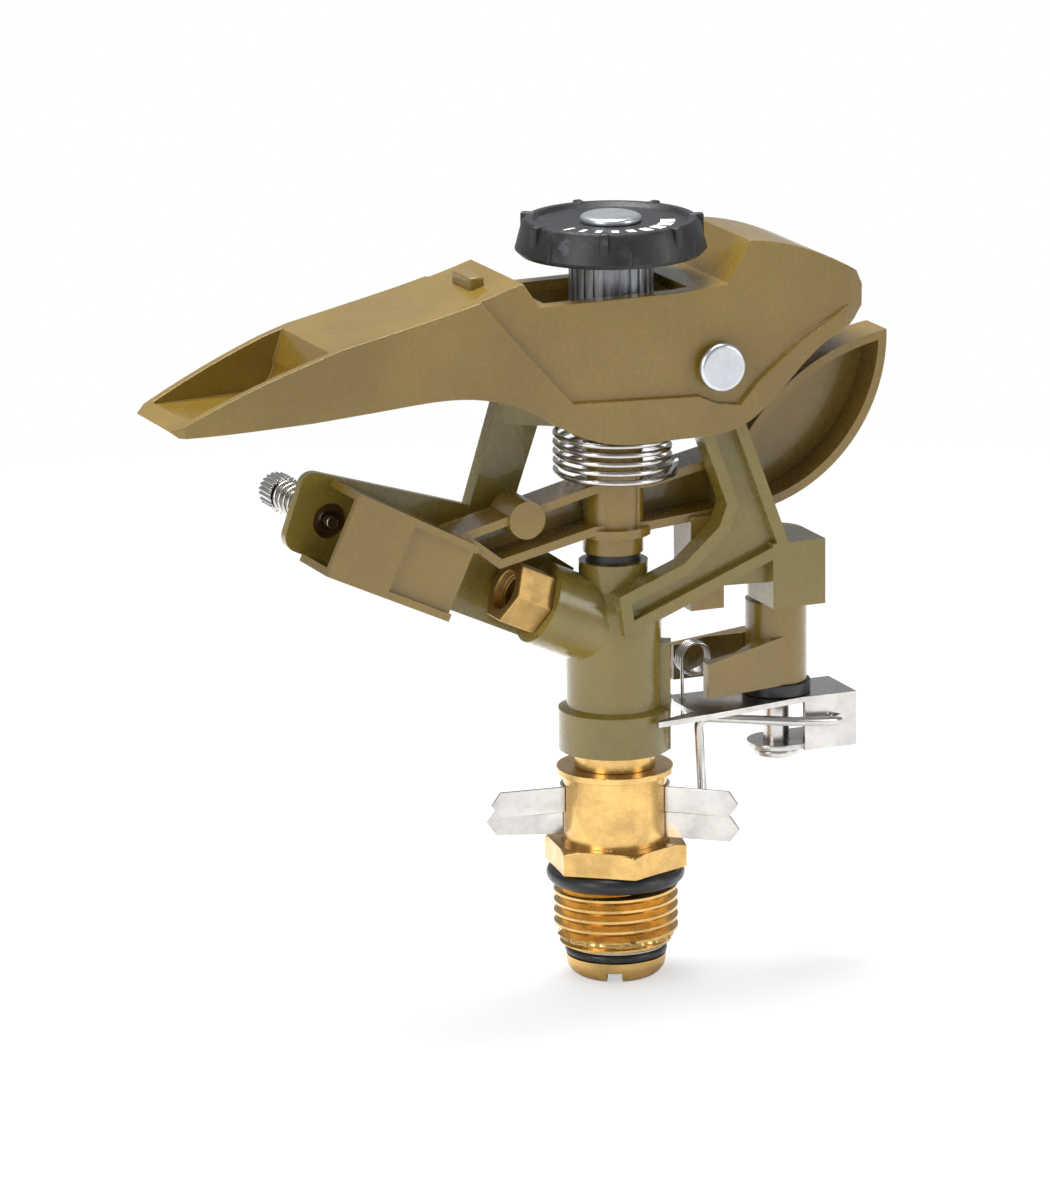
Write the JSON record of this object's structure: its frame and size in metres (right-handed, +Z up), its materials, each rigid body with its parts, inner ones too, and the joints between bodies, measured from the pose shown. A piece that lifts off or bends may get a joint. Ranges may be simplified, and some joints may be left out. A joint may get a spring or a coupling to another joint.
{
  "type": "impact sprinkler head",
  "caption": "Part-circle impact sprinkler head: threaded brass inlet, turning body with nozzle, sprung drive arm, tilting range hood, knob, stop gear and clips.",
  "frame": {"origin": "on the inlet axis, at the upper end of the thread, just under the big seal ring", "axes": "+Z up along the inlet axis, jet and hood tip towards -X, stop gear at +X, drive arm swings out towards -Y"},
  "size_m": [0.1294, 0.0468, 0.1302],
  "materials": {
    "brass": "turned, slightly tarnished",
    "nozzle_brass": "turned, darkened",
    "bronze": "dull",
    "olive_enamel": "semi-gloss enamel on zinc casting",
    "stainless": "bright strip and wire",
    "spring_steel": "drawn wire",
    "rivet_aluminium": "satin",
    "black_rubber": "matt",
    "black_plastic": "scuffed",
    "grey_plastic": "dull",
    "white_plastic": "natural nylon"
  },
  "bodies": {
    "inlet": {"inlet_nipple": "brass", "inlet_seal_ring": "black_rubber", "sand_guard_sleeve": "brass"},
    "upper_clip": {"stop_clip_upper": "stainless"},
    "lower_clip": {"stop_clip_lower": "stainless"},
    "head": {"spindle": "brass", "spindle_seal_ring": "black_rubber", "thrust_washer": "white_plastic", "bearing_spring": "spring_steel", "body_casting": "olive_enamel", "nozzle": "nozzle_brass", "flow_vane": "grey_plastic", "diffuser_bush": "bronze", "diffuser_spring": "spring_steel", "pivot_shaft": "spring_steel", "arm_washer_lower": "grey_plastic", "arm_washer_upper": "grey_plastic", "gear_pin": "stainless", "gear_washer": "black_plastic"},
    "screw": {"diffuser_screw": "stainless"},
    "arm": {"drive_arm": "olive_enamel", "arm_bush": "bronze", "arm_spring": "spring_steel"},
    "shield": {"range_shield": "olive_enamel", "shield_pin": "rivet_aluminium"},
    "knob": {"range_knob": "black_plastic", "knob_cap": "rivet_aluminium", "knob_stem": "grey_plastic"},
    "reverse": {"reverse_lever": "olive_enamel"},
    "trip": {"trip_lever": "stainless", "toggle_spring": "spring_steel"},
    "wire": {"trip_wire": "stainless"}
  },
  "joints": [
    {"name": "body_turn", "type": "hinge", "parent": "inlet", "child": "head", "pos_m": [0, 0, 0], "axis": [0, 0, 1], "range_deg": [-8, 140]},
    {"name": "stop_clip_upper_turn", "type": "hinge", "parent": "inlet", "child": "upper_clip", "pos_m": [0, 0, 0], "axis": [0, 0, 1], "range_deg": [-20, 5]},
    {"name": "stop_clip_lower_turn", "type": "hinge", "parent": "inlet", "child": "lower_clip", "pos_m": [0, 0, 0], "axis": [0, 0, 1], "range_deg": [-20, 5]},
    {"name": "arm_swing", "type": "hinge", "parent": "head", "child": "arm", "pos_m": [0, 0, 0], "axis": [0, 0, 1], "range_deg": [0, 100], "stiffness_Nm_per_rad": 0.01, "springref_deg": -22.92},
    {"name": "knob_turn", "type": "hinge", "parent": "head", "child": "knob", "pos_m": [0, 0, 0.1], "axis": [0, 0, -1], "range_deg": [0, 300]},
    {"name": "shield_tilt", "type": "hinge", "parent": "head", "child": "shield", "pos_m": [0.0143, 0, 0.0894], "axis": [0, -1, 0], "range_deg": [0, 6]},
    {"name": "diffuser_screw_travel", "type": "slide", "parent": "head", "child": "screw", "axis": [0, -1, 0], "range_m": [0, 0.005], "deforming": ["diffuser_spring"]},
    {"name": "trip_lever_swing", "type": "hinge", "parent": "head", "child": "trip", "pos_m": [0.0298, 0, 0], "axis": [0, 0, 1], "range_deg": [0, 10]},
    {"name": "reverse_lever_swing", "type": "hinge", "parent": "head", "child": "reverse", "pos_m": [0.0298, 0, 0], "axis": [0, 0, 1], "range_deg": [-10, 0]},
    {"name": "trip_wire_swing", "type": "hinge", "parent": "trip", "child": "wire", "pos_m": [0.0383, 0, 0.0252], "axis": [0, 1, 0], "range_deg": [-120, 0]}
  ],
  "couplings": [
    {"joint": "shield_tilt", "follows": "knob_turn", "ratio": 0.02},
    {"joint": "reverse_lever_swing", "follows": "trip_lever_swing", "ratio": -1}
  ]
}
